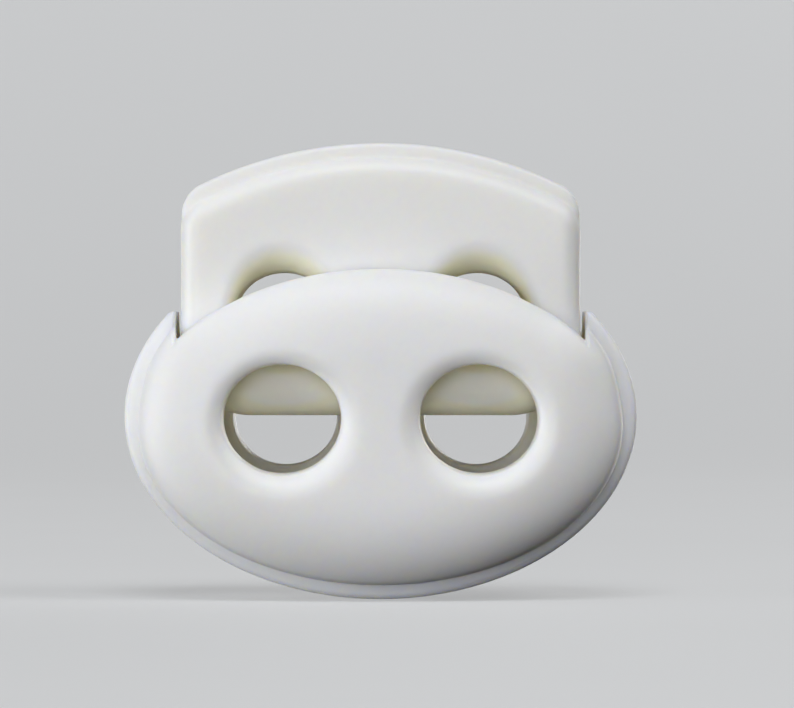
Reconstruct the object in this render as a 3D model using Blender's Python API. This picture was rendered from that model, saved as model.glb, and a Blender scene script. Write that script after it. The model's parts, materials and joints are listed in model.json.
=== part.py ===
"""Two-hole oval cord lock: an oval housing and a sprung plunger that pinches two cords.

The housing is a flat case with a domed front and back, an oval band around its middle and an
open slot at the top, with an ear on each side of the slot. The plunger slides in the slot. A
compression spring on the floor of the housing pushes it up until its barbs meet the ledges of
the two side pockets. At rest the lower bar of the plunger covers the upper half of the housing's
cord holes; pressed by TRAVEL, the holes of the two pieces line up and the cords run free.

Frame: the origin is midway between the axes of the two cord holes, at mid depth. +X runs along
the width, +Y towards the back and +Z towards the end that the thumb presses. Metres.
"""
import math
from collections import namedtuple

import bmesh
import bpy
from mathutils import Vector
from mathutils.geometry import delaunay_2d_cdt

MM = 0.001

Oval = namedtuple("Oval", "z half_width half_height")
Lip = namedtuple("Lip", "half_width half_height")

# Housing
BAND = Oval(0.12 * MM, 12.5 * MM, 8.94 * MM)
BAND_HALF_DEPTH = 2.5 * MM
BAND_EDGE_RADIUS = 0.3 * MM
DOME = Oval(-0.36 * MM, 11.73 * MM, 7.69 * MM)
CROWN_HALF_DEPTH = 6.25 * MM
CROWN_EDGE_HALF_DEPTH = 4.05 * MM
CROWN_FLAT_SHARE = 0.4
CROWN_POWER = 2.4
WALL = 1.0 * MM
EAR_TOP_Z = 5.32 * MM
EAR_CLEAR_HALF_WIDTH = 11.0 * MM
CHEEK_INSET = 0.75 * MM
CHEEK_HALF_DEPTH = 4.3 * MM
CHEEK_EDGE_RADIUS = 0.4 * MM
CHEEK_LOW_ANGLE = 6.0

# Cord holes of the housing: each is an oval that tapers from the front lip to the back lip. The
# round of a lip stops short of a quarter turn, so that it ends in a crisp edge.
HOLE_X = 4.76 * MM
FRONT_LIP = Lip(2.90 * MM, 2.67 * MM)
BACK_LIP = Lip(2.54 * MM, 2.38 * MM)
LIP_FILLET_RADIUS = 1.4 * MM
LIP_FILLET_TURN = math.radians(50)
LIP_REACH = LIP_FILLET_RADIUS * math.sin(LIP_FILLET_TURN)
LIP_MARGIN = 0.35 * MM

# Cavity for the plunger
SLOT_HALF_WIDTH = 9.92 * MM
CAVITY_HALF_DEPTH = 3.4 * MM
SLOT_OPEN_Z = 12.0 * MM
CHEEK_INNER_X = SLOT_HALF_WIDTH + 0.15 * MM
CHEEK_ROOT_X = 10.8 * MM
POCKET_HALF_WIDTH = 10.6 * MM
POCKET_HALF_DEPTH = 1.8 * MM
POCKET_BOTTOM_Z = -3.3 * MM
LEDGE_Z = 3.5 * MM
BOSS_RADIUS = 1.0 * MM
BOSS_HEIGHT = 1.4 * MM
BOSS_CHAMFER = 0.25 * MM

# Plunger, at rest
TRAVEL = 5.0 * MM
PLUNGER_TOP_Z = 13.45 * MM
PLUNGER_TOP_RADIUS = 20.0 * MM
PLUNGER_HALF_WIDTH_TOP = 9.70 * MM
PLUNGER_HALF_WIDTH_LOW = 9.75 * MM
PLUNGER_TOP_CORNER = 0.85 * MM
PLUNGER_LOW_CORNER = 3.4 * MM
PLUNGER_BOTTOM_Z = 0.15 * MM
PLUNGER_HALF_DEPTH = 3.2 * MM
PLUNGER_EDGE_RADIUS = 0.9 * MM
TOP_BAND_HEIGHT = 0.72 * MM
TOP_BAND_HALF_DEPTH = 2.5 * MM
TOP_BAND_EDGE_RADIUS = 0.25 * MM
TOP_BAND_ROOT = 3.0 * MM
PLUNGER_HOLE_Z = TRAVEL
PLUNGER_HOLE_HALF_WIDTH = 2.4 * MM
PLUNGER_HOLE_HALF_HEIGHT = 2.15 * MM
PLUNGER_HOLE_FILLET = 0.75 * MM
PLUNGER_HOLE_TOP_FILLET = 1.6 * MM
BARB_HALF_WIDTH = 10.3 * MM
BARB_HALF_DEPTH = 1.4 * MM
BARB_TOP_Z = 3.2 * MM
BARB_FLAT = 0.3 * MM
BARB_BOTTOM_Z = 2.1 * MM
BARB_ROOT_X = 9.0 * MM

# Spring, in a blind bore of the plunger and around the boss on the housing's floor
SPRING_GAP = 0.3 * MM
SPRING_RADIUS = 1.7 * MM
WIRE_RADIUS = 0.2 * MM
SPRING_ACTIVE_TURNS = 10
CLOSED_TURN_RISE = 2.15 * WIRE_RADIUS
SPRING_BORE_RADIUS = 1.92 * MM
SPRING_BORE_TOP_Z = 6.0 * MM

FLOOR_Z = DOME.z - DOME.half_height + WALL

# Facets
OVAL_SIDES = 72
HOLE_SIDES = 36
CROWN_STEPS = 7
LIP_STEPS = 5
CORNER_STEPS = 5
LOW_CORNER_STEPS = 7
ARCH_STEPS = 24
CHEEK_STEPS = 10
BORE_SIDES = 24
BOSS_SIDES = 16
SPRING_STEPS_PER_TURN = 16
WIRE_SIDES = 6
THIN_EDGE_SEGMENTS = 2
SLAB_EDGE_SEGMENTS = 3

# Limits for the shapes: how far a cutter overruns the face that it cuts, the turn of the surface
# that still shades smooth, the least turn at the rim of a prism, and the tolerance on a point
CUT_OVERRUN = 1.0 * MM
SMOOTH_ANGLE = math.radians(40)
RIM_ANGLE = math.radians(60)
POINT_TOLERANCE = 1e-9

PLASTIC = (0.80, 0.80, 0.78, 1.0)
PLASTIC_ROUGHNESS = 0.45
STEEL = (0.62, 0.62, 0.63, 1.0)
STEEL_ROUGHNESS = 0.3


# ---------------------------------------------------------------- Blender helpers

def clear_scene():
    for thing in list(bpy.data.objects):
        bpy.data.objects.remove(thing, do_unlink=True)


def make_material(name, colour, roughness, metallic):
    material = bpy.data.materials.new(name)
    material.use_nodes = True
    shader = material.node_tree.nodes["Principled BSDF"]
    shader.inputs["Base Color"].default_value = colour
    shader.inputs["Roughness"].default_value = roughness
    shader.inputs["Metallic"].default_value = metallic
    return material


def make_object(name, points, faces, material=None):
    """A mesh object whose faces all point outwards."""
    shape = bmesh.new()
    verts = [shape.verts.new(point) for point in points]
    for face in faces:
        shape.faces.new([verts[index] for index in face])
    bmesh.ops.recalc_face_normals(shape, faces=shape.faces)
    mesh = bpy.data.meshes.new(name)
    shape.to_mesh(mesh)
    shape.free()
    if material:
        mesh.materials.append(material)
        mesh.shade_smooth()
        mesh.set_sharp_from_angle(angle=SMOOTH_ANGLE)
    made = bpy.data.objects.new(name, mesh)
    bpy.context.scene.collection.objects.link(made)
    return made


def hide_tool(tool):
    tool.hide_render = True
    tool.display_type = "WIRE"
    return tool


def boolean(target, tool, operation):
    modifier = target.modifiers.new(operation.lower(), "BOOLEAN")
    modifier.operation = operation
    modifier.solver = "EXACT"
    modifier.object = hide_tool(tool)


def bevel_edges(target, width, segments, wanted):
    """Round the edges of a mesh that the test picks."""
    shape = bmesh.new()
    shape.from_mesh(target.data)
    edges = [edge for edge in shape.edges if wanted(edge)]
    bmesh.ops.bevel(
        shape, geom=edges, offset=width, offset_type="OFFSET", segments=segments, profile=0.5,
        affect="EDGES", clamp_overlap=True)
    shape.to_mesh(target.data)
    shape.free()


def is_flat_rim(edge):
    """True for the edges around the front and back faces of an extruded outline."""
    levels = {round(vert.co.y, 7) for vert in edge.verts}
    return len(levels) == 1 and len(edge.link_faces) == 2 and edge.calc_face_angle() > RIM_ANGLE


# ---------------------------------------------------------------- Outlines and rings

def oval_ring(x, z, half_width, half_height, sides):
    """Points (x, z) around an oval."""
    ring = []
    for index in range(sides):
        angle = 2 * math.pi * index / sides
        ring.append((x + half_width * math.cos(angle), z + half_height * math.sin(angle)))
    return ring


def arc(x, z, radius, start, end, steps):
    """Points (x, z) along an arc; the angles are in degrees from +X towards +Z."""
    points = []
    for index in range(steps + 1):
        angle = math.radians(start + (end - start) * index / steps)
        points.append((x + radius * math.cos(angle), z + radius * math.sin(angle)))
    return points


def extrude_outline(name, outline, half_depth, material=None):
    """A prism along Y from an outline of (x, z) points."""
    count = len(outline)
    points = [(x, -half_depth, z) for x, z in outline]
    points += [(x, half_depth, z) for x, z in outline]
    faces = [list(range(count)), list(range(count, 2 * count))]
    for index in range(count):
        after = (index + 1) % count
        faces.append([index, after, after + count, index + count])
    return make_object(name, points, faces, material)


def loft_rings(name, rings, material=None):
    """A capped solid through rings of 3-D points with the same number of points."""
    count = len(rings[0])
    points = [point for ring in rings for point in ring]
    faces = [list(range(count)), list(range(len(points) - count, len(points)))]
    for level in range(len(rings) - 1):
        start = level * count
        for index in range(count):
            after = (index + 1) % count
            faces.append([start + index, start + after, start + after + count, start + index + count])
    return make_object(name, points, faces, material)


def turned_z(name, profile, sides):
    """A solid turned about the Z axis, from (z, radius) stations."""
    rings = []
    for z, radius in profile:
        rings.append([(px, py, z) for px, py in oval_ring(0, 0, radius, radius, sides)])
    return loft_rings(name, rings)


# ---------------------------------------------------------------- Housing

def crown_half_depth(x, z):
    """Half depth of the dome at (x, z), without the cord holes: flat, then rounded to the edge."""
    share = math.hypot(x / DOME.half_width, (z - DOME.z) / DOME.half_height)
    run = max(0.0, (share - CROWN_FLAT_SHARE) / (1 - CROWN_FLAT_SHARE))
    fall = math.sqrt(max(0.0, 1 - run ** CROWN_POWER))
    return CROWN_EDGE_HALF_DEPTH + (CROWN_HALF_DEPTH - CROWN_EDGE_HALF_DEPTH) * fall


def lip_rings(hole_x, lip):
    """Rings of (x, z, half depth) from the foot of the rounded lip in to the hole's edge."""
    rings = []
    for step in range(LIP_STEPS + 1):
        angle = LIP_FILLET_TURN * step / LIP_STEPS
        reach = LIP_REACH - LIP_FILLET_RADIUS * math.sin(angle)
        drop = LIP_FILLET_RADIUS * (1 - math.cos(angle))
        ring = oval_ring(hole_x, 0, lip.half_width + reach, lip.half_height + reach, HOLE_SIDES)
        rings.append([(x, z, crown_half_depth(x, z) - drop) for x, z in ring])
    return rings


def hole_share(x, z, lip, reach):
    """1 on the oval that runs the given reach outside the nearer hole's edge, less inside it."""
    return math.hypot((abs(x) - HOLE_X) / (lip.half_width + reach), z / (lip.half_height + reach))


def crown_rings():
    """Rings of (x, z, half depth) from the dome's edge in to its flat middle."""
    rings = []
    for step in range(CROWN_STEPS, -1, -1):
        angle = math.pi / 2 * step / CROWN_STEPS
        run = math.sin(angle) ** (2 / CROWN_POWER)
        share = CROWN_FLAT_SHARE + (1 - CROWN_FLAT_SHARE) * run
        ring = oval_ring(0, DOME.z, DOME.half_width * share, DOME.half_height * share, OVAL_SIDES)
        rings.append([(x, z, crown_half_depth(x, z)) for x, z in ring])
    return rings


def dome_face(lip):
    """Points (x, z, half depth) and triangles of one domed face, and its boundary loops.

    The loops are the indices of the dome's edge and of the edge of each cord hole.
    """
    rings = crown_rings()
    points = list(rings[0])
    loops = [list(range(OVAL_SIDES))]
    for ring in rings[1:]:
        for x, z, depth in ring:
            if hole_share(x, z, lip, LIP_REACH + LIP_MARGIN) > 1:
                points.append((x, z, depth))
    for side in (-1, 1):
        for ring in lip_rings(side * HOLE_X, lip):
            loop = list(range(len(points), len(points) + HOLE_SIDES))
            points += ring
        loops.append(loop)
    flat = [Vector((x, z)) for x, z, depth in points]
    constraints = []
    for loop in loops:
        constraints += list(zip(loop, loop[1:] + loop[:1]))
    triangles = delaunay_2d_cdt(flat, constraints, [], 0, POINT_TOLERANCE)[2]
    kept = []
    for triangle in triangles:
        x = sum(flat[index].x for index in triangle) / 3
        z = sum(flat[index].y for index in triangle) / 3
        if hole_share(x, z, lip, 0) > 1:
            kept.append(list(triangle))
    return points, kept, loops


def dome_solid(material):
    """The housing's two domed faces, joined by the side wall and by the walls of the holes."""
    front_points, front_triangles, front_loops = dome_face(FRONT_LIP)
    back_points, back_triangles, back_loops = dome_face(BACK_LIP)
    count = len(front_points)
    points = [(x, -depth, z) for x, z, depth in front_points]
    points += [(x, depth, z) for x, z, depth in back_points]
    faces = front_triangles + [[index + count for index in triangle] for triangle in back_triangles]
    for front, back in zip(front_loops, back_loops):
        for index in range(len(front)):
            after = (index + 1) % len(front)
            faces.append([front[index], front[after], back[after] + count, back[index] + count])
    return make_object("housing", points, faces, material)


def band_tool():
    """The oval band around the middle of the housing, solid until the cavity is cut."""
    ring = oval_ring(0, BAND.z, BAND.half_width, BAND.half_height, OVAL_SIDES)
    band = extrude_outline("housing_band", ring, BAND_HALF_DEPTH)
    bevel_edges(band, BAND_EDGE_RADIUS, THIN_EDGE_SEGMENTS, is_flat_rim)
    return band


def cheek_tool(side):
    """The raised cheek of an ear, which keeps the band's edge even as far as the slot."""
    half_width = BAND.half_width - CHEEK_INSET
    half_height = BAND.half_height - CHEEK_INSET
    high_angle = math.degrees(math.acos(CHEEK_INNER_X / half_width))
    outline = [(CHEEK_INNER_X, BAND.z), (CHEEK_ROOT_X, BAND.z)]
    for index in range(CHEEK_STEPS + 1):
        angle = math.radians(CHEEK_LOW_ANGLE + (high_angle - CHEEK_LOW_ANGLE) * index / CHEEK_STEPS)
        outline.append((half_width * math.cos(angle), BAND.z + half_height * math.sin(angle)))
    name = "housing_cheek_left" if side < 0 else "housing_cheek_right"
    cheek = extrude_outline(name, [(side * x, z) for x, z in outline], CHEEK_HALF_DEPTH)
    bevel_edges(cheek, CHEEK_EDGE_RADIUS, THIN_EDGE_SEGMENTS, is_flat_rim)
    return cheek


def cavity_outline():
    """The plunger's room seen from the front: a slot with an oval floor, wider above the ears."""
    half_width = DOME.half_width - WALL
    half_height = DOME.half_height - WALL
    reach = math.degrees(math.acos(SLOT_HALF_WIDTH / half_width))
    outline = [
        (-EAR_CLEAR_HALF_WIDTH, SLOT_OPEN_Z), (-EAR_CLEAR_HALF_WIDTH, EAR_TOP_Z),
        (-SLOT_HALF_WIDTH, EAR_TOP_Z)]
    steps = OVAL_SIDES // 2
    for index in range(steps + 1):
        angle = math.radians(180 + reach + (180 - 2 * reach) * index / steps)
        outline.append((half_width * math.cos(angle), DOME.z + half_height * math.sin(angle)))
    outline += [
        (SLOT_HALF_WIDTH, EAR_TOP_Z), (EAR_CLEAR_HALF_WIDTH, EAR_TOP_Z),
        (EAR_CLEAR_HALF_WIDTH, SLOT_OPEN_Z)]
    return outline


def pocket_tool():
    """The pockets of both side walls in one box: their tops are the ledges that stop the barbs."""
    outline = [
        (-POCKET_HALF_WIDTH, POCKET_BOTTOM_Z), (POCKET_HALF_WIDTH, POCKET_BOTTOM_Z),
        (POCKET_HALF_WIDTH, LEDGE_Z), (-POCKET_HALF_WIDTH, LEDGE_Z)]
    return extrude_outline("housing_pockets", outline, POCKET_HALF_DEPTH)


def boss_tool():
    """The stub on the housing's floor that centres the spring."""
    top = FLOOR_Z + BOSS_HEIGHT
    profile = [
        (FLOOR_Z - WALL / 2, BOSS_RADIUS), (top - BOSS_CHAMFER, BOSS_RADIUS),
        (top, BOSS_RADIUS - BOSS_CHAMFER)]
    return turned_z("housing_boss", profile, BOSS_SIDES)


def build_housing(material):
    housing = dome_solid(material)
    boolean(housing, band_tool(), "UNION")
    for side in (-1, 1):
        boolean(housing, cheek_tool(side), "UNION")
    cavity = extrude_outline("housing_cavity", cavity_outline(), CAVITY_HALF_DEPTH)
    boolean(housing, cavity, "DIFFERENCE")
    boolean(housing, pocket_tool(), "DIFFERENCE")
    boolean(housing, boss_tool(), "UNION")
    return housing


# ---------------------------------------------------------------- Plunger

def top_arc(inset, half_width, corner):
    """The plunger's top edge, right to left: a shallow arc with a rounded corner at each end."""
    radius = PLUNGER_TOP_RADIUS - inset
    centre_z = PLUNGER_TOP_Z - PLUNGER_TOP_RADIUS
    corner_x = half_width - corner
    corner_z = centre_z + math.sqrt((radius - corner) ** 2 - corner_x ** 2)
    lean = math.degrees(math.atan2(corner_z - centre_z, corner_x))
    points = arc(corner_x, corner_z, corner, 0, lean, CORNER_STEPS)
    points += arc(0, centre_z, radius, lean, 180 - lean, ARCH_STEPS)[1:-1]
    points += arc(-corner_x, corner_z, corner, 180 - lean, 180, CORNER_STEPS)
    return points


def low_corner(side):
    """A rounded lower corner of the plunger, from its side down to its flat bottom edge."""
    x = PLUNGER_HALF_WIDTH_LOW - PLUNGER_LOW_CORNER
    z = PLUNGER_BOTTOM_Z + PLUNGER_LOW_CORNER
    points = arc(x, z, PLUNGER_LOW_CORNER, 0, -90, LOW_CORNER_STEPS)
    return [(side * px, pz) for px, pz in points]


def slab_outline():
    """The plunger's body seen from the front."""
    top = top_arc(TOP_BAND_HEIGHT, PLUNGER_HALF_WIDTH_TOP, PLUNGER_TOP_CORNER)
    return top + low_corner(-1) + low_corner(1)[::-1]


def top_band_tool():
    """The thinner band that stands proud along the plunger's top edge."""
    outline = top_arc(0, PLUNGER_HALF_WIDTH_TOP, PLUNGER_TOP_CORNER)
    outline += top_arc(TOP_BAND_ROOT, PLUNGER_HALF_WIDTH_TOP, PLUNGER_TOP_CORNER)[::-1]
    band = extrude_outline("plunger_top_band", outline, TOP_BAND_HALF_DEPTH)
    bevel_edges(
        band, TOP_BAND_EDGE_RADIUS, THIN_EDGE_SEGMENTS,
        lambda edge: is_flat_rim(edge) and is_high(edge))
    return band


def is_high(edge):
    """True for an edge on the upper side of the plunger's top band."""
    middle = (edge.verts[0].co + edge.verts[1].co) / 2
    centre_z = PLUNGER_TOP_Z - PLUNGER_TOP_RADIUS
    distance = math.hypot(middle.x, middle.z - centre_z)
    return distance > PLUNGER_TOP_RADIUS - TOP_BAND_HEIGHT


def barb_tool(side):
    """A barb low on the plunger's side: a flat top that the ledge stops, and a sloped underside."""
    outline = [
        (BARB_ROOT_X, BARB_TOP_Z), (BARB_HALF_WIDTH, BARB_TOP_Z),
        (BARB_HALF_WIDTH, BARB_TOP_Z - BARB_FLAT), (PLUNGER_HALF_WIDTH_LOW - BARB_FLAT, BARB_BOTTOM_Z),
        (BARB_ROOT_X, BARB_BOTTOM_Z)]
    name = "plunger_barb_left" if side < 0 else "plunger_barb_right"
    return extrude_outline(name, [(side * x, z) for x, z in outline], BARB_HALF_DEPTH)


def hole_lip_ring(side, turn):
    """Points (x, z, depth below the face) where the rounded lip has turned by the angle."""
    ring = []
    for x, z in oval_ring(0, 0, PLUNGER_HOLE_HALF_WIDTH, PLUNGER_HOLE_HALF_HEIGHT, HOLE_SIDES):
        out = Vector((x / PLUNGER_HOLE_HALF_WIDTH ** 2, z / PLUNGER_HOLE_HALF_HEIGHT ** 2)).normalized()
        rise = max(0.0, out.y) ** 2
        fillet = PLUNGER_HOLE_FILLET + (PLUNGER_HOLE_TOP_FILLET - PLUNGER_HOLE_FILLET) * rise
        reach = fillet * (1 - math.sin(turn))
        x, z = side * HOLE_X + x + reach * out.x, PLUNGER_HOLE_Z + z + reach * out.y
        ring.append((x, z, fillet * (1 - math.cos(turn))))
    return ring


def hole_tool(side):
    """An oval cord hole of the plunger, with lips that are rounded most at the top."""
    front = [[(x, -PLUNGER_HALF_DEPTH - CUT_OVERRUN, z) for x, z, depth in hole_lip_ring(side, 0)]]
    for step in range(LIP_STEPS + 1):
        ring = hole_lip_ring(side, math.pi / 2 * step / LIP_STEPS)
        front.append([(x, depth - PLUNGER_HALF_DEPTH, z) for x, z, depth in ring])
    back = [[(x, -y, z) for x, y, z in ring] for ring in reversed(front)]
    name = "plunger_hole_left" if side < 0 else "plunger_hole_right"
    return loft_rings(name, front + back)


def spring_bore_tool():
    below = PLUNGER_BOTTOM_Z - CUT_OVERRUN
    profile = [(below, SPRING_BORE_RADIUS), (SPRING_BORE_TOP_Z, SPRING_BORE_RADIUS)]
    return turned_z("plunger_spring_bore", profile, BORE_SIDES)


def build_plunger(material):
    plunger = extrude_outline("plunger", slab_outline(), PLUNGER_HALF_DEPTH, material)
    bevel_edges(plunger, PLUNGER_EDGE_RADIUS, SLAB_EDGE_SEGMENTS, is_flat_rim)
    boolean(plunger, top_band_tool(), "UNION")
    for side in (-1, 1):
        boolean(plunger, barb_tool(side), "UNION")
        boolean(plunger, hole_tool(side), "DIFFERENCE")
    boolean(plunger, spring_bore_tool(), "DIFFERENCE")
    return plunger


# ---------------------------------------------------------------- Spring

def spring_route():
    """Centre line of the wire: a closed turn at each end and open turns between them."""
    low = FLOOR_Z + SPRING_GAP + WIRE_RADIUS
    high = SPRING_BORE_TOP_Z - SPRING_GAP - WIRE_RADIUS
    pitch = (high - low - 2 * CLOSED_TURN_RISE) / SPRING_ACTIVE_TURNS
    coil_radius = SPRING_RADIUS - WIRE_RADIUS
    turns = SPRING_ACTIVE_TURNS + 2
    steps = turns * SPRING_STEPS_PER_TURN
    route = []
    z = low
    for step in range(steps + 1):
        turn = step / SPRING_STEPS_PER_TURN
        angle = 2 * math.pi * turn
        route.append(Vector((coil_radius * math.cos(angle), coil_radius * math.sin(angle), z)))
        is_closed = turn < 1 or turn >= turns - 1
        z += (CLOSED_TURN_RISE if is_closed else pitch) / SPRING_STEPS_PER_TURN
    return route


def build_spring(material):
    """The wire as a six-sided tube with flat ends."""
    route = spring_route()
    rings = []
    for index, centre in enumerate(route):
        ahead = route[min(index + 1, len(route) - 1)] - route[max(index - 1, 0)]
        outward = Vector((centre.x, centre.y, 0)).normalized()
        upward = ahead.cross(outward).normalized()
        ring = []
        for side in range(WIRE_SIDES):
            angle = 2 * math.pi * side / WIRE_SIDES
            ring.append(centre + WIRE_RADIUS * (math.cos(angle) * outward + math.sin(angle) * upward))
        rings.append(ring)
    return loft_rings("spring", rings, material)


def main():
    clear_scene()
    build_housing(make_material("housing_plastic", PLASTIC, PLASTIC_ROUGHNESS, 0.0))
    build_plunger(make_material("plunger_plastic", PLASTIC, PLASTIC_ROUGHNESS, 0.0))
    build_spring(make_material("spring_steel", STEEL, STEEL_ROUGHNESS, 1.0))


main()
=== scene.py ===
"""Looks of the two-hole cord lock: white moulded plastic housing and plunger, steel spring.

Each moulding is one smooth surface made from a distance field: a function of position that is
negative inside the plastic and zero on its surface. Fields are joined and cut with rounded
edges, as a moulding tool leaves them. The field is sampled on a grid, turned into quads, and
its points are then settled exactly onto the surface. Lengths are in millimetres until a mesh is
made. The frame is the CAD model's: +X width, +Y back, +Z thumb end, origin between the holes.
"""
import json
import math

import bmesh
import bpy
import numpy as np
import openvdb
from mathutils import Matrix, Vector


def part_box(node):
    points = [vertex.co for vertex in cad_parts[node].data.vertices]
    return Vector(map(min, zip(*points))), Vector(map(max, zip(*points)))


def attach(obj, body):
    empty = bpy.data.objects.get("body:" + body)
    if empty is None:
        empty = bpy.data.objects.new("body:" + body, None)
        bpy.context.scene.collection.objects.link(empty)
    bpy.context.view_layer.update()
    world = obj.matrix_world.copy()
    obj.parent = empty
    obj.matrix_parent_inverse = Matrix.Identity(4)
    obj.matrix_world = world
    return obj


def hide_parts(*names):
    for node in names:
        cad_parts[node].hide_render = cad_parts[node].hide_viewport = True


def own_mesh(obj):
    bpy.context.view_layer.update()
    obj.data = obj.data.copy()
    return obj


MM = 0.001

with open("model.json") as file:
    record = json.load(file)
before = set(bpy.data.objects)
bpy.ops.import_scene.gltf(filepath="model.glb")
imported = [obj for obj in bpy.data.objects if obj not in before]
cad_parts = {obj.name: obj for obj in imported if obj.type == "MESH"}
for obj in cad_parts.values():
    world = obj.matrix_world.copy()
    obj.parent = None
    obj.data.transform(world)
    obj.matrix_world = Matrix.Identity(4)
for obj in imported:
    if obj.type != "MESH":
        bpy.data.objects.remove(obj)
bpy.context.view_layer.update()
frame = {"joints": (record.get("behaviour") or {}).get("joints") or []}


def box_mm(node):
    """The lowest and highest corner of a CAD node, in millimetres."""
    low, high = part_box(node)
    return low / MM, high / MM


def new_object(name, data):
    """An object in the scene that shows the mesh, the lamp or the camera."""
    made = bpy.data.objects.new(name, data)
    bpy.context.scene.collection.objects.link(made)
    return made


HOUSING_LOW, HOUSING_HIGH = box_mm("housing")
PLUNGER_LOW, PLUNGER_HIGH = box_mm("plunger")
SPRING_LOW, SPRING_HIGH = box_mm("spring")
TRAVEL = frame["joints"][0]["range_m"][1] / MM

# Housing
BAND_HALF_WIDTH, BAND_HALF_HEIGHT = HOUSING_HIGH.x, 8.94
BAND_Z = HOUSING_LOW.z + BAND_HALF_HEIGHT
BAND_HALF_DEPTH, BAND_EDGE = 2.5, 0.3
DOME_HALF_WIDTH, DOME_HALF_HEIGHT = 11.73, 7.69
DOME_Z = HOUSING_HIGH.z - DOME_HALF_HEIGHT
CROWN_HALF_DEPTH, CROWN_EDGE_HALF_DEPTH = HOUSING_HIGH.y, 4.05
CROWN_FLAT_SHARE, CROWN_POWER = 0.4, 2.4
WALL = 1.0
SEAM_FILLET = 0.14
CHEEK_INSET, CHEEK_FADE, CHEEK_RISE = 0.75, 2.5, 3.0
EAR_TOP_Z, EAR_EDGE = 5.32, 0.22
HOLE_X = 4.76
FRONT_LIP_HALF_WIDTH, FRONT_LIP_HALF_HEIGHT = 2.90, 2.67
BACK_LIP_HALF_WIDTH, BACK_LIP_HALF_HEIGHT = 2.54, 2.38
LIP_HALF_DEPTH = 5.4
LIP_FILLET, LIP_FILLET_TURN, LIP_EDGE = 1.4, math.radians(50), 0.1
LIP_DISH_DROP = 0.2
SLOT_HALF_WIDTH, CAVITY_HALF_DEPTH = 9.92, 3.4
MOUTH_EDGE, CAVITY_CORNER = 0.2, 0.3
POCKET_HALF_WIDTH, POCKET_HALF_DEPTH = 10.6, 1.8
POCKET_BOTTOM_Z, LEDGE_Z = -3.3, 3.5
BOSS_RADIUS, BOSS_HEIGHT, BOSS_ROOT = 1.0, 1.4, 0.5
BOSS_EDGE, BOSS_FILLET = 0.25, 0.2
FLOOR_Z = DOME_Z - DOME_HALF_HEIGHT + WALL

# Plunger, at rest
TOP_Z, TOP_RADIUS = PLUNGER_HIGH.z, 20.0
HALF_WIDTH_TOP, HALF_WIDTH_LOW = 9.70, 9.75
TOP_CORNER, LOW_CORNER = 0.85, 3.4
BOTTOM_Z = PLUNGER_LOW.z
SLAB_HALF_DEPTH, SLAB_EDGE = PLUNGER_HIGH.y, 0.9
BAR_EDGE, BAR_EDGE_FADE = 1.3, (1.0, 3.0)
TOP_BAND_HEIGHT, TOP_BAND_HALF_DEPTH, TOP_BAND_EDGE = 0.72, 2.5, 0.25
TOP_BAND_ROOT_Z, TOP_BAND_FADE = TOP_Z / 2, 3.0
PLUNGER_HOLE_Z, PLUNGER_HOLE_HALF_WIDTH, PLUNGER_HOLE_HALF_HEIGHT = TRAVEL, 2.4, 2.15
PLUNGER_HOLE_FILLET, PLUNGER_HOLE_TOP_FILLET = 0.75, 1.6
PLUNGER_HOLE_CORE = 0.1
BARB_HALF_WIDTH, BARB_HALF_DEPTH = PLUNGER_HIGH.x, 1.4
BARB_TOP_Z, BARB_BOTTOM_Z, BARB_FLAT, BARB_ROOT_X = 3.2, 2.1, 0.3, 9.0
BARB_EDGE, BARB_FILLET = 0.08, 0.1
SPRING_BORE_RADIUS, SPRING_BORE_TOP_Z, SPRING_BORE_EDGE = 1.92, 6.0, 0.15

# Spring
WIRE_RADIUS, WIRE_END_SHARE, WIRE_SIDES = 0.2, 0.8, 14
SPRING_ACTIVE_TURNS, SPRING_STEPS_PER_TURN = 10, 48
CLOSED_TURN_RISE = 2.15 * WIRE_RADIUS
WIRE_SMOOTH_ANGLE = math.radians(50)

# Plastic
HOUSING_SHADES = (0.858, 0.860, 0.876, 1), (0.868, 0.864, 0.864, 1)
PLUNGER_SHADES = (0.864, 0.860, 0.856, 1), (0.876, 0.868, 0.848, 1)
SHADE_SPECK = (0.80, 0.79, 0.76, 1)
# Painted light: a brighter, warmer colour inside, for light that bounces between the white parts
PAINTED_LIGHT_INSIDE = (0.98, 0.955, 0.88, 1)
# Painted shade: a yellow tint where other plastic is close, for the warm shade in tight recesses
PAINTED_SHADE_RECESS = (0.99, 0.92, 0.71, 1)
SHADE_WORN = (0.90, 0.90, 0.89, 1)
WORN_SHARE, WORN_POLISH, RECESS_DULLING = 0.35, 0.10, 0.08
RIPPLE_HEIGHT, TEXTURE_HEIGHT, PARTING_LINE_HEIGHT = 0.9, 0.10, 0.45
PLASTIC_BUMP_STRENGTH, PLASTIC_BUMP = 0.6, 0.04
HOUSING_SEED, PLUNGER_SEED = 0.0, 0.05
PLASTIC_SETTINGS = {
    "IOR": 1.48,
    "Specular IOR Level": 0.45,
    "Subsurface Weight": 0.8,
    "Subsurface Radius": (1.0, 0.85, 0.5),
    "Subsurface Scale": 1.5 * MM,
}

# Steel
STEEL_SHADES = (0.44, 0.44, 0.45, 1), (0.60, 0.60, 0.60, 1)
DRAWN_LINE_SQUEEZE = 12
STEEL_BUMP_STRENGTH, STEEL_BUMP = 0.5, 0.008

# Noises: the size of the blotches in millimetres, the detail and the roughness
CLOUD_NOISE = 6.0, 3, 0.5
SPECK_NOISE = 0.35, 2, 0.5
MOTTLE_NOISE = 1.8, 5, 0.65
TEXTURE_NOISE = 0.12, 3, 0.6
RIPPLE_NOISE = 3.0, 2, 0.5
DRAWN_LINE_NOISE = 0.35, 4, 0.7
FILM_NOISE = 1.5, 3, 0.5
STAGE_NOISE = 40.0, 2, 0.5

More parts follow.
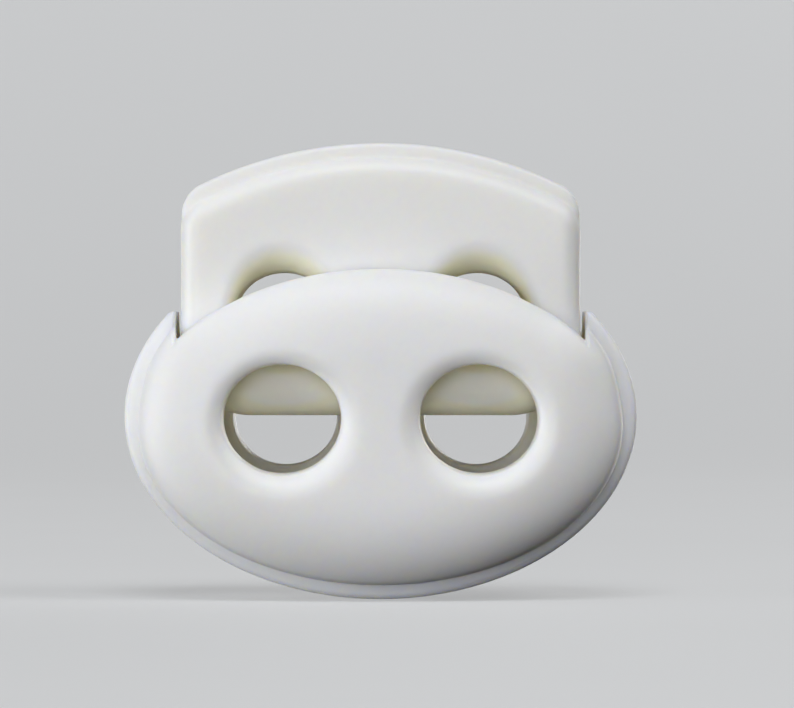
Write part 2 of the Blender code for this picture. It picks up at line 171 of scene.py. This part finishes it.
# Ramps: where a value starts and ends its run, and what comes out at the two ends
SPECK_RAMP = 0.35, 0.75, 0.0, 0.10
# The painted shade in recesses: how the noise and the room in front set it
PAINTED_SHADE_MOTTLE_RAMP = 0.2, 0.8, 0.8, 1.0
PAINTED_SHADE_ROOM_RAMP = 0.2, 0.8, 1.0, 0.15
WORN_EDGE_RAMP = 0.25, 0.8, 0.0, 1.0
WORN_MOTTLE_RAMP = 0.35, 0.65, 0.0, 1.0
SATIN_RAMP = 0.25, 0.75, 0.40, 0.50
PARTING_LINE_RAMP = 0.03 * MM, 0.11 * MM, 1.0, 0.0
STEEL_ROUGHNESS_RAMP = 0.3, 0.7, 0.24, 0.40

# Studio
AIM = Vector((0, 0, 2.0))
CAMERA_PLACE = Vector((0.80, -249.7, 3.14))
CAMERA_LENS, SENSOR_WIDTH = 230, 36
CAMERA_REACH = 0.01, 10
LIGHT_DISTANCE = 1000
COOL_LIGHT = (0.95, 0.975, 1.0)
STAGE_RADIUS, STAGE_BEND, STAGE_HEIGHT = 450, 200, 420
STAGE_SIDES, STAGE_BEND_STEPS, STAGE_MERGE = 96, 12, 0.01
STAGE_SHADES = (0.30, 0.303, 0.306, 1), (0.32, 0.323, 0.326, 1)
STAGE_SETTINGS = {
    "Roughness": 0.9,
    "Emission Color": (0.98, 0.99, 1.0, 1),
    "Emission Strength": 0.38,
}
STAND_Z = HOUSING_LOW.z
WORLD_BELOW, WORLD_ABOVE = 0.01, 0.05
WORLD_FADE = -0.6, 0.9

# What the material reads at each point: the depths over which a buried face and a hole's lip
# turn into a recess with painted light and shade, where room in front of a face is felt for the
# painted shade, and the depth that finds an edge
BURIED_DEPTHS, HOLE_DEPTHS = (0.5, 2.0), (0.01, 0.3)
ROOM_REACH, ROOM_DROP = 2.5, 0.8
EDGE_DEPTH = 0.3

# Sampling of the fields. The least slope and the tiny number keep divisions within bounds
GRID_PITCH = 0.155
GRID_REACH = 3 * GRID_PITCH
HOUSING_GRID = (-13.2, -7, -9.6), (13.2, 7, 8.2)
PLUNGER_GRID = (-11, -3.8, -0.6), (11, 3.8, 14.2)
SETTLE_PASSES, SETTLE_STEP, LEAST_SLOPE = 3, 0.02 * GRID_PITCH, 0.5
NORMAL_STEP = 0.02
TINY = 1e-6


# ---------------------------------------------------------------- Distance fields

def oval(x, z, half_width, half_height):
    """Distance to an oval's outline, exact on it and close to exact near it."""
    share = np.maximum(np.hypot(x / half_width, z / half_height), TINY)
    slope = np.maximum(np.hypot(x / half_width ** 2, z / half_height ** 2), TINY / half_height)
    return share * (share - 1) / slope


def both(a, b, radius):
    """Where the two fields overlap, with a rounded edge."""
    edge = np.hypot(np.maximum(radius + a, 0), np.maximum(radius + b, 0))
    return np.minimum(-radius, np.maximum(a, b)) + edge


def joined(a, b, radius):
    """The two fields together, with a fillet between them."""
    fillet = np.hypot(np.maximum(radius - a, 0), np.maximum(radius - b, 0))
    return np.maximum(radius, np.minimum(a, b)) - fillet


def cut(a, b, radius):
    """The first field without the second, with a rounded edge."""
    return both(a, -b, radius)


def fade(value, start, end):
    """0 before start and 1 past end, with a smooth run between them."""
    run = np.clip((value - start) / (end - start), 0, 1)
    return run * run * (3 - 2 * run)


def dome_field(x, y, z):
    """The domed body: flat in the middle of each face and rounded over to a straight side.

    Its outline is the dome's oval, which swells into the two cheeks beside the slot. A share is
    0 in the middle of the face and 1 on the outline.
    """
    dz = z - DOME_Z
    dome_share = np.maximum(np.hypot(x / DOME_HALF_WIDTH, dz / DOME_HALF_HEIGHT), TINY)
    share_slope = np.hypot(x / DOME_HALF_WIDTH ** 2, dz / DOME_HALF_HEIGHT ** 2) / dome_share
    cheek_half_width = BAND_HALF_WIDTH - CHEEK_INSET
    cheek_half_height = BAND_HALF_HEIGHT - CHEEK_INSET
    cheek_share = np.hypot(x / cheek_half_width, (z - BAND_Z) / cheek_half_height)
    cheek = fade(np.abs(x), SLOT_HALF_WIDTH - CHEEK_FADE, SLOT_HALF_WIDTH) * fade(z, 0, CHEEK_RISE)
    share = dome_share + (cheek_share - dome_share) * cheek
    run = np.maximum(share - CROWN_FLAT_SHARE, 0) / (1 - CROWN_FLAT_SHARE)
    height = CROWN_HALF_DEPTH - CROWN_EDGE_HALF_DEPTH
    rise = np.maximum(y - CROWN_EDGE_HALF_DEPTH, 0) / height
    level = np.maximum(np.sqrt(run ** CROWN_POWER + rise ** 2), TINY)
    along = CROWN_POWER * run ** (CROWN_POWER - 1) / (1 - CROWN_FLAT_SHARE) * share_slope
    slope = np.hypot(along, 2 * rise / height) / (2 * level)
    return (level - 1) / np.maximum(slope, LEAST_SLOPE / DOME_HALF_WIDTH)


def cord_hole_field(x, y, z, inset):
    """Both cord holes, which taper from the front lip to the back lip, smaller by the inset."""
    run = np.clip((y + LIP_HALF_DEPTH) / (2 * LIP_HALF_DEPTH), 0, 1)
    half_width = FRONT_LIP_HALF_WIDTH + (BACK_LIP_HALF_WIDTH - FRONT_LIP_HALF_WIDTH) * run
    half_height = FRONT_LIP_HALF_HEIGHT + (BACK_LIP_HALF_HEIGHT - FRONT_LIP_HALF_HEIGHT) * run
    return oval(np.abs(x) - HOLE_X, z, half_width - inset, half_height - inset)


def cavity_field(x, y, z):
    """The plunger's room: a slot open at the top with an oval floor, and two side pockets."""
    below = np.minimum(z - DOME_Z, 0)
    floor = oval(x, below, DOME_HALF_WIDTH - WALL, DOME_HALF_HEIGHT - WALL)
    outline = both(np.abs(x) - SLOT_HALF_WIDTH, floor, CAVITY_CORNER)
    room = both(outline, y - CAVITY_HALF_DEPTH, CAVITY_CORNER)
    pocket = np.maximum(np.abs(x) - POCKET_HALF_WIDTH, y - POCKET_HALF_DEPTH)
    pocket = np.maximum(pocket, np.maximum(z - LEDGE_Z, POCKET_BOTTOM_Z - z))
    return np.minimum(room, pocket)


def opening_field(x, y, z):
    """What is cut away above the dome's arc between the ears, and above the ears."""
    arc = oval(x, z - DOME_Z, DOME_HALF_WIDTH, DOME_HALF_HEIGHT)
    between = np.maximum(np.maximum(np.abs(x) - SLOT_HALF_WIDTH, -arc), -z)
    above = np.maximum(SLOT_HALF_WIDTH - WALL / 2 - np.abs(x), EAR_TOP_Z - z)
    return np.minimum(between, above)


def hull_field(x, y, z):
    """The housing as it would be without its holes and its cavity."""
    y = np.abs(y)
    band = np.maximum(oval(x, z - BAND_Z, BAND_HALF_WIDTH, BAND_HALF_HEIGHT), y - BAND_HALF_DEPTH)
    return np.minimum(dome_field(x, y, z), band)


def housing_field(x, y, z):
    """The whole housing."""
    hole = cord_hole_field(x, y, z, 0)
    inset = LIP_FILLET * (1 - math.sin(LIP_FILLET_TURN))
    lip_round = cord_hole_field(x, y, z + LIP_DISH_DROP, inset)
    y = np.abs(y)
    band_outline = oval(x, z - BAND_Z, BAND_HALF_WIDTH, BAND_HALF_HEIGHT)
    band = both(band_outline, y - BAND_HALF_DEPTH, BAND_EDGE)
    body = joined(dome_field(x, y, z), band, SEAM_FILLET)
    body = cut(body, opening_field(x, y, z), EAR_EDGE)
    body = cut(body, lip_round, LIP_FILLET)
    body = cut(body, hole, LIP_EDGE)
    body = cut(body, cavity_field(x, y, z), MOUTH_EDGE)
    boss = both(np.hypot(x, y) - BOSS_RADIUS, z - FLOOR_Z - BOSS_HEIGHT, BOSS_EDGE)
    boss = np.maximum(boss, FLOOR_Z - BOSS_ROOT - z)
    return joined(body, boss, BOSS_FILLET)


def top_arc_field(x, z, inset):
    """Below the plunger's arched top edge and between its sides."""
    share = (z - BOTTOM_Z) / (TOP_Z - BOTTOM_Z)
    half_width = HALF_WIDTH_LOW + (HALF_WIDTH_TOP - HALF_WIDTH_LOW) * share
    arch = np.hypot(x, z - TOP_Z + TOP_RADIUS) - TOP_RADIUS + inset
    return both(np.abs(x) - half_width, arch, TOP_CORNER)


def barb_field(x, y, z):
    """Both barbs: a flat top and a sloped underside."""
    run = BARB_HALF_WIDTH - HALF_WIDTH_LOW + BARB_FLAT
    drop = BARB_TOP_Z - BARB_FLAT - BARB_BOTTOM_Z
    under = drop * (np.abs(x) - BARB_HALF_WIDTH) - run * (z - BARB_TOP_Z + BARB_FLAT)
    under = under / math.hypot(run, drop)
    side = both(np.abs(x) - BARB_HALF_WIDTH, z - BARB_TOP_Z, BARB_EDGE)
    end = np.maximum(y - BARB_HALF_DEPTH, BARB_ROOT_X - np.abs(x))
    return np.maximum(np.maximum(side, under), end)


def plunger_hole_field(x, z):
    """Both cord holes of the plunger, and the rounding of their lips, which is most at the top."""
    dx, dz = np.abs(x) - HOLE_X, z - PLUNGER_HOLE_Z
    up = np.maximum(dz, 0) ** 2 / (dx ** 2 + dz ** 2 + PLUNGER_HOLE_CORE ** 2)
    fillet = PLUNGER_HOLE_FILLET + (PLUNGER_HOLE_TOP_FILLET - PLUNGER_HOLE_FILLET) * up
    return oval(dx, dz, PLUNGER_HOLE_HALF_WIDTH, PLUNGER_HOLE_HALF_HEIGHT), fillet


def plunger_slab_field(x, y, z):
    """The plunger's slab and the thinner band along its top, without holes, barbs or bore."""
    y = np.abs(y)
    outline = both(top_arc_field(x, z, TOP_BAND_HEIGHT), BOTTOM_Z - z, LOW_CORNER)
    edge = SLAB_EDGE + (BAR_EDGE - SLAB_EDGE) * fade(PLUNGER_HOLE_Z - z, *BAR_EDGE_FADE)
    slab = both(outline, y - SLAB_HALF_DEPTH, edge)
    band = both(top_arc_field(x, z, 0), y - TOP_BAND_HALF_DEPTH, TOP_BAND_EDGE)
    band = np.maximum(band, TOP_BAND_ROOT_Z - z)
    fillet = SEAM_FILLET * fade(z, TOP_BAND_ROOT_Z, TOP_BAND_ROOT_Z + TOP_BAND_FADE)
    return joined(slab, band, fillet)


def plunger_field(x, y, z):
    """The whole plunger."""
    body = cut(plunger_slab_field(x, y, z), *plunger_hole_field(x, z))
    body = joined(body, barb_field(x, np.abs(y), z), BARB_FILLET)
    bore = np.maximum(np.hypot(x, y) - SPRING_BORE_RADIUS, z - SPRING_BORE_TOP_Z)
    return cut(body, bore, SPRING_BORE_EDGE)


def housing_hollow(x, y, z):
    """0 on the outside of the housing and 1 well inside it."""
    # Where this is high, the material paints light and shade
    return fade(-hull_field(x, y, z), *BURIED_DEPTHS)


def plunger_hollow(x, y, z):
    """0 on the outside of the plunger, and 1 in its holes and where the housing hides it."""
    # Where this is high, the material paints light and shade
    in_hole = fade(-plunger_slab_field(x, y, z), *HOLE_DEPTHS)
    return np.maximum(in_hole, housing_hollow(x, y, z))


# ---------------------------------------------------------------- Surfaces from fields

def field_slope(field, points, step):
    """The field's gradient at each point."""
    slope = np.empty_like(points)
    for axis in range(3):
        offset = np.zeros(3)
        offset[axis] = step
        ahead = field(*(points + offset).T)
        behind = field(*(points - offset).T)
        slope[:, axis] = (ahead - behind) / (2 * step)
    return slope


def settle(field, points):
    """Moves the points onto the field's surface, in a few short steps."""
    for _ in range(SETTLE_PASSES):
        slope = field_slope(field, points, SETTLE_STEP)
        size = np.maximum((slope ** 2).sum(1), LEAST_SLOPE ** 2)
        move = np.clip(field(*points.T) / size, -GRID_PITCH / 2, GRID_PITCH / 2)
        points = points - move[:, None] * slope
    return points


def outward(points, quads):
    """The quads, wound so that they face out of the solid."""
    a, b, c, d = (points[quads[:, corner]] for corner in range(4))
    volume = (a * np.cross(b - a, c - a)).sum() + (a * np.cross(c - a, d - a)).sum()
    return quads if volume > 0 else quads[:, ::-1]


def all_plastic_field(x, y, z):
    """Both mouldings, as they lie at rest."""
    return np.minimum(housing_field(x, y, z), plunger_field(x, y, z))


def field_surface(field, low, high):
    """The points and quads of the surface where the field is zero, in the box from low to high."""
    low = np.array(low, float)
    counts = np.ceil((np.array(high, float) - low) / GRID_PITCH).astype(int) + 1
    axes = [low[axis] + GRID_PITCH * np.arange(counts[axis]) for axis in range(3)]
    x, y, z = np.meshgrid(*axes, indexing="ij", sparse=True)
    values = field(x.astype(np.float32), y.astype(np.float32), z.astype(np.float32))
    grid = openvdb.FloatGrid(GRID_REACH)
    grid.copyFromArray(np.clip(values, -GRID_REACH, GRID_REACH).astype(np.float32))
    points, quads = grid.convertToQuads()
    points = settle(field, low + GRID_PITCH * points.astype(float))
    return points, outward(points, quads.astype(int))


def keep_number(mesh, name, numbers):
    """Keeps a number from 0 to 1 at each point of the mesh, for its material to read."""
    kept = mesh.attributes.new(name, "FLOAT", "POINT")
    kept.data.foreach_set("value", np.clip(numbers, 0, 1).astype(np.float32))


def field_object(name, field, hollow, low, high):
    """A smooth closed mesh of the surface where the field is zero.

    Three numbers are kept at each point, for the material's painted light and shade and its worn
    edges. hollow is what the hollow function gives there: 0 on the outside and 1 in a recess.
    room is 0 against other plastic and 1 with nothing close in front, a little below. edge is 1
    on a sharp outer edge and 0 on a flat face.
    """
    points, quads = field_surface(field, low, high)
    slope = field_slope(field, points, NORMAL_STEP)
    normals = slope / np.maximum(np.linalg.norm(slope, axis=1), TINY)[:, None]
    mesh = bpy.data.meshes.new(name)
    mesh.from_pydata(points * MM, [], quads.tolist())
    mesh.shade_smooth()
    mesh.normals_split_custom_set_from_vertices(normals)

    in_front = points + ROOM_REACH * normals - (0, 0, ROOM_DROP)
    behind = points - EDGE_DEPTH * normals
    keep_number(mesh, "hollow", hollow(*points.T))
    keep_number(mesh, "room", all_plastic_field(*in_front.T) / ROOM_REACH)
    keep_number(mesh, "edge", 1 + field(*behind.T) / EDGE_DEPTH)
    return new_object(name, mesh)


# ---------------------------------------------------------------- Spring

def spring_route(low, high, coil_radius):
    """The wire's centre line, with a closed turn at each end."""
    turns = SPRING_ACTIVE_TURNS + 2
    turn = np.arange(turns * SPRING_STEPS_PER_TURN + 1) / SPRING_STEPS_PER_TURN
    heights = [low, low + CLOSED_TURN_RISE, high - CLOSED_TURN_RISE, high]
    z = np.interp(turn, [0, 1, turns - 1, turns], heights)
    angle = 2 * math.pi * turn
    return np.stack([coil_radius * np.cos(angle), coil_radius * np.sin(angle), z], 1)


def wire_ring(centre, ahead, radius):
    """Points around the wire, square to its route."""
    out = np.array([centre[0], centre[1], 0])
    out = out / np.linalg.norm(out)
    up = np.cross(ahead, out)
    up = up / np.linalg.norm(up)
    turn = [2 * math.pi * side / WIRE_SIDES for side in range(WIRE_SIDES)]
    return [centre + radius * (math.cos(angle) * out + math.sin(angle) * up) for angle in turn]


def wire_faces(count):
    """The faces that close a wire of that many rings: a cap at each end and quads between."""
    sides = WIRE_SIDES
    faces = [list(range(sides)), list(range((count - 1) * sides, count * sides))[::-1]]
    for start in range(0, (count - 1) * sides, sides):
        for side in range(sides):
            after = (side + 1) % sides
            faces.append([start + side, start + sides + side, start + sides + after, start + after])
    return faces


def spring_object(low, high, outer_radius):
    """The wire swept round its route, with ends a little thinner than the rest."""
    route = spring_route(low + WIRE_RADIUS, high - WIRE_RADIUS, outer_radius - WIRE_RADIUS)
    last = len(route) - 1
    points = []
    for index, centre in enumerate(route):
        ahead = route[min(index + 1, last)] - route[max(index - 1, 0)]
        share = WIRE_END_SHARE if index in (0, last) else 1
        points += wire_ring(centre, ahead, WIRE_RADIUS * share)
    mesh = bpy.data.meshes.new("spring_wire")
    mesh.from_pydata([list(point * MM) for point in points], [], wire_faces(len(route)))
    mesh.validate()
    mesh.shade_smooth()
    mesh.set_sharp_from_angle(angle=WIRE_SMOOTH_ANGLE)
    return new_object("spring_wire", mesh)


# ---------------------------------------------------------------- Materials

class Tree:
    """A material's nodes, added and linked in a few words."""

    def __init__(self, name):
        self.material = bpy.data.materials.new(name)
        self.material.use_nodes = True
        self.nodes = self.material.node_tree.nodes
        self.links = self.material.node_tree.links
        self.shader = self.nodes["Principled BSDF"]

    def add(self, kind, settings=None, **inputs):
        """A node of that kind; an input is a value, or the output socket that feeds it."""
        node = self.nodes.new("ShaderNode" + kind)
        for key, value in (settings or {}).items():
            setattr(node, key, value)
        for key, value in inputs.items():
            self.feed(node, key.replace("_", " "), value)
        return node

    def feed(self, node, socket, value):
        """Sets or links one input, given by its name or its number."""
        if isinstance(value, bpy.types.NodeSocket):
            self.links.new(value, node.inputs[socket])
        else:
            node.inputs[socket].default_value = value

    def maths(self, operation, first, second=0.0, kind="Math"):
        """What a maths node makes of two numbers."""
        node = self.add(kind, {"operation": operation})
        self.feed(node, 0, first)
        self.feed(node, 1, second)
        return node.outputs[0]

    def vector_maths(self, operation, first, second):
        """What a vector maths node makes of two vectors."""
        return self.maths(operation, first, second, "VectorMath")

    def attribute(self, name):
        """A number that the mesh keeps at each of its points."""
        return self.add("Attribute", {"attribute_name": name}).outputs["Fac"]

    def ramp(self, value, low, high, low_out, high_out):
        """The value's run from low to high, made smooth, as a run from low_out to high_out."""
        node = self.add("MapRange", {"interpolation_type": "SMOOTHSTEP"})
        for socket, number in enumerate((value, low, high, low_out, high_out)):
            self.feed(node, socket, number)
        return node.outputs[0]

    def noise(self, place, size, detail, roughness):
        """Noise from 0 to 1 whose blotches are about the given size, in millimetres."""
        node = self.add(
            "TexNoise", Vector=place, Scale=1 / (size * MM), Detail=detail, Roughness=roughness)
        return node.outputs["Fac"]

    def mix(self, share, first, second):
        """The first colour where the share is 0, and the second where it is 1."""
        node = self.add("Mix", {"data_type": "RGBA"})
        used = [socket for socket, item in enumerate(node.inputs) if item.enabled]
        for socket, value in zip(used, (share, first, second)):
            self.feed(node, socket, value)
        return next(item for item in node.outputs if item.enabled)

    def bump(self, height, strength, distance):
        """Bumps whose full height is the distance, in millimetres."""
        node = self.add("Bump", Strength=strength, Distance=distance * MM, Height=height)
        self.feed(self.shader, "Normal", node.outputs[0])

    def set_shader(self, settings):
        """Sets the shader's own values, each by its socket's name."""
        for socket, value in settings.items():
            self.feed(self.shader, socket, value)


def plastic_material(name, seed, shades):
    """White acetal with a satin mould finish, polished edges, and painted light and shade inside."""
    tree = Tree(name)
    position = tree.add("TexCoord").outputs["Object"]
    depth = tree.add("SeparateXYZ", Vector=position).outputs["Y"]
    place = tree.vector_maths("ADD", position, (seed, seed, seed))
    hollow, room, edge = (tree.attribute(kept) for kept in ("hollow", "room", "edge"))

    cloud = tree.noise(place, *CLOUD_NOISE)
    speck = tree.noise(place, *SPECK_NOISE)
    mottle = tree.noise(place, *MOTTLE_NOISE)
    colour = tree.mix(cloud, *shades)
    colour = tree.mix(tree.ramp(speck, *SPECK_RAMP), colour, SHADE_SPECK)
    # Painted light: brighter and warmer where the surface lies inside
    colour = tree.mix(hollow, colour, PAINTED_LIGHT_INSIDE)
    # Painted shade: yellow in recesses where other plastic is close in front
    recess = tree.maths("MULTIPLY", hollow, tree.ramp(mottle, *PAINTED_SHADE_MOTTLE_RAMP))
    recess = tree.maths("MULTIPLY", recess, tree.ramp(room, *PAINTED_SHADE_ROOM_RAMP))
    colour = tree.mix(recess, colour, PAINTED_SHADE_RECESS)
    worn = tree.ramp(edge, *WORN_EDGE_RAMP)
    worn = tree.maths("MULTIPLY", worn, tree.ramp(mottle, *WORN_MOTTLE_RAMP))
    colour = tree.mix(tree.maths("MULTIPLY", worn, WORN_SHARE), colour, SHADE_WORN)
    tree.feed(tree.shader, "Base Color", colour)

    rough = tree.ramp(mottle, *SATIN_RAMP)
    rough = tree.maths("SUBTRACT", rough, tree.maths("MULTIPLY", worn, WORN_POLISH))
    rough = tree.maths("ADD", rough, tree.maths("MULTIPLY", recess, RECESS_DULLING))
    tree.feed(tree.shader, "Roughness", rough)

    texture = tree.maths("MULTIPLY", tree.noise(place, *TEXTURE_NOISE), TEXTURE_HEIGHT)
    ripple = tree.maths("MULTIPLY", tree.noise(place, *RIPPLE_NOISE), RIPPLE_HEIGHT)
    line = tree.ramp(tree.maths("ABSOLUTE", depth), *PARTING_LINE_RAMP)
    line = tree.maths("MULTIPLY", line, PARTING_LINE_HEIGHT)
    height = tree.maths("ADD", tree.maths("ADD", texture, ripple), line)
    tree.bump(height, PLASTIC_BUMP_STRENGTH, PLASTIC_BUMP)
    tree.set_shader(PLASTIC_SETTINGS)
    return tree.material


def steel_material():
    """Drawn spring wire: bright, with fine lines along its length and a dull oil film."""
    tree = Tree("spring_steel")
    place = tree.add("TexCoord").outputs["Object"]
    squeezed = tree.vector_maths("MULTIPLY", place, (1, 1, DRAWN_LINE_SQUEEZE))
    lines = tree.noise(squeezed, *DRAWN_LINE_NOISE)
    film = tree.noise(place, *FILM_NOISE)
    tree.feed(tree.shader, "Base Color", tree.mix(film, *STEEL_SHADES))
    tree.feed(tree.shader, "Roughness", tree.ramp(film, *STEEL_ROUGHNESS_RAMP))
    tree.bump(lines, STEEL_BUMP_STRENGTH, STEEL_BUMP)
    tree.set_shader({"Metallic": 1})
    return tree.material


# ---------------------------------------------------------------- Camera, light and stage

def add_camera():
    """A long lens that looks level along +Y, straight at the front."""
    camera = bpy.data.cameras.new("camera")
    camera.lens = CAMERA_LENS
    camera.sensor_width = SENSOR_WIDTH
    camera.clip_start, camera.clip_end = CAMERA_REACH
    holder = new_object("camera", camera)
    holder.location = CAMERA_PLACE * MM
    holder.rotation_euler = (math.radians(90), 0, 0)
    bpy.context.scene.camera = holder


def add_light(name, clock, off_axis, size, energy, colour=(1, 1, 1)):
    """A square soft box that faces the object.

    clock is where it stands as the camera sees it, in degrees from the right, through the top.
    off_axis is the angle at the object between the light and the camera, in degrees.
    """
    lamp = bpy.data.lights.new(name, "AREA")
    lamp.shape = "SQUARE"
    lamp.size = size * MM
    lamp.energy = energy
    lamp.color = colour
    clock, off_axis = math.radians(clock), math.radians(off_axis)
    aside = math.sin(off_axis)
    way = Vector((aside * math.cos(clock), -math.cos(off_axis), aside * math.sin(clock)))
    holder = new_object(name, lamp)
    holder.location = (AIM + LIGHT_DISTANCE * way) * MM
    holder.rotation_euler = way.to_track_quat("Z", "Y").to_euler()
    holder.visible_camera = False


def add_lights():
    """On the front, most light comes from above and from the left. The last two light the back."""
    add_light("top", 90, 58, 500, 4.3, COOL_LIGHT)
    add_light("front", 170, 10, 500, 2.5)
    add_light("left", 180, 71, 500, 5.0, COOL_LIGHT)
    add_light("low_left", 205, 71, 500, 1.6)
    add_light("upper_right", 50, 70, 500, 3.3)
    add_light("rear_left", 180, 150, 600, 1.4)
    add_light("rear_right", 0, 155, 600, 3.4)


def add_world():
    """Soft light from all around, brighter from above."""
    world = bpy.data.worlds.new("studio")
    bpy.context.scene.world = world
    world.use_nodes = True
    nodes, links = world.node_tree.nodes, world.node_tree.links
    coordinates = nodes.new("ShaderNodeTexCoord")
    split = nodes.new("ShaderNodeSeparateXYZ")
    run = nodes.new("ShaderNodeMapRange")
    settings = {
        "From Min": WORLD_FADE[0], "From Max": WORLD_FADE[1],
        "To Min": WORLD_BELOW, "To Max": WORLD_ABOVE,
    }
    for socket, value in settings.items():
        run.inputs[socket].default_value = value
    links.new(coordinates.outputs["Generated"], split.inputs[0])
    links.new(split.outputs["Z"], run.inputs["Value"])
    links.new(run.outputs[0], nodes["Background"].inputs["Strength"])


def stage_material():
    """Pale grey paper with a glow of its own, which keeps the backdrop even."""
    tree = Tree("stage_paper")
    cloud = tree.noise(tree.add("TexCoord").outputs["Object"], *STAGE_NOISE)
    tree.feed(tree.shader, "Base Color", tree.mix(cloud, *STAGE_SHADES))
    tree.set_shader(STAGE_SETTINGS)
    return tree.material


def add_stage():
    """A pale floor that curves up into a wall all around, so that no horizon shows.

    The lights stand outside the wall. They reach the object because the stage casts no shadow.
    """
    profile = [(0.0, 0.0)]
    for step in range(STAGE_BEND_STEPS + 1):
        angle = math.pi / 2 * step / STAGE_BEND_STEPS
        radius = STAGE_RADIUS - STAGE_BEND * (1 - math.sin(angle))
        profile.append((radius, STAGE_BEND * (1 - math.cos(angle))))
    profile.append((STAGE_RADIUS, STAGE_HEIGHT))
    shape = bmesh.new()
    verts = [shape.verts.new((radius * MM, 0, (STAND_Z + height) * MM)) for radius, height in profile]
    edges = [shape.edges.new(pair) for pair in zip(verts, verts[1:])]
    bmesh.ops.spin(
        shape, geom=verts + edges, cent=(0, 0, 0), axis=(0, 0, 1), angle=2 * math.pi,
        steps=STAGE_SIDES, use_merge=True)
    bmesh.ops.remove_doubles(shape, verts=shape.verts, dist=STAGE_MERGE * MM)
    mesh = bpy.data.meshes.new("stage")
    shape.to_mesh(mesh)
    shape.free()
    mesh.shade_smooth()
    mesh.materials.append(stage_material())
    stage = new_object("stage", mesh)
    stage.visible_diffuse = False
    stage.visible_glossy = False
    stage.visible_shadow = False


# ---------------------------------------------------------------- The whole scene

def add_piece(piece, body, node, material):
    """Gives the piece its material, ties it to its body and hides its CAD node."""
    piece.data.materials.append(material)
    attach(piece, body)
    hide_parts(node)


def add_housing():
    housing = field_object("housing_shell", housing_field, housing_hollow, *HOUSING_GRID)
    plastic = plastic_material("housing_plastic", HOUSING_SEED, HOUSING_SHADES)
    add_piece(housing, "housing", "housing", plastic)


def add_plunger():
    plunger = field_object("plunger_slab", plunger_field, plunger_hollow, *PLUNGER_GRID)
    plastic = plastic_material("plunger_plastic", PLUNGER_SEED, PLUNGER_SHADES)
    add_piece(plunger, "plunger", "plunger", plastic)


def add_spring():
    """The spring rides on the housing."""
    spring = spring_object(SPRING_LOW.z, SPRING_HIGH.z, SPRING_HIGH.x)
    add_piece(spring, "housing", "spring", steel_material())
    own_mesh(spring)


def main():
    add_housing()
    add_plunger()
    add_spring()
    add_stage()
    add_world()
    add_lights()
    add_camera()
    bpy.context.scene.view_settings.view_transform = "Standard"


main()
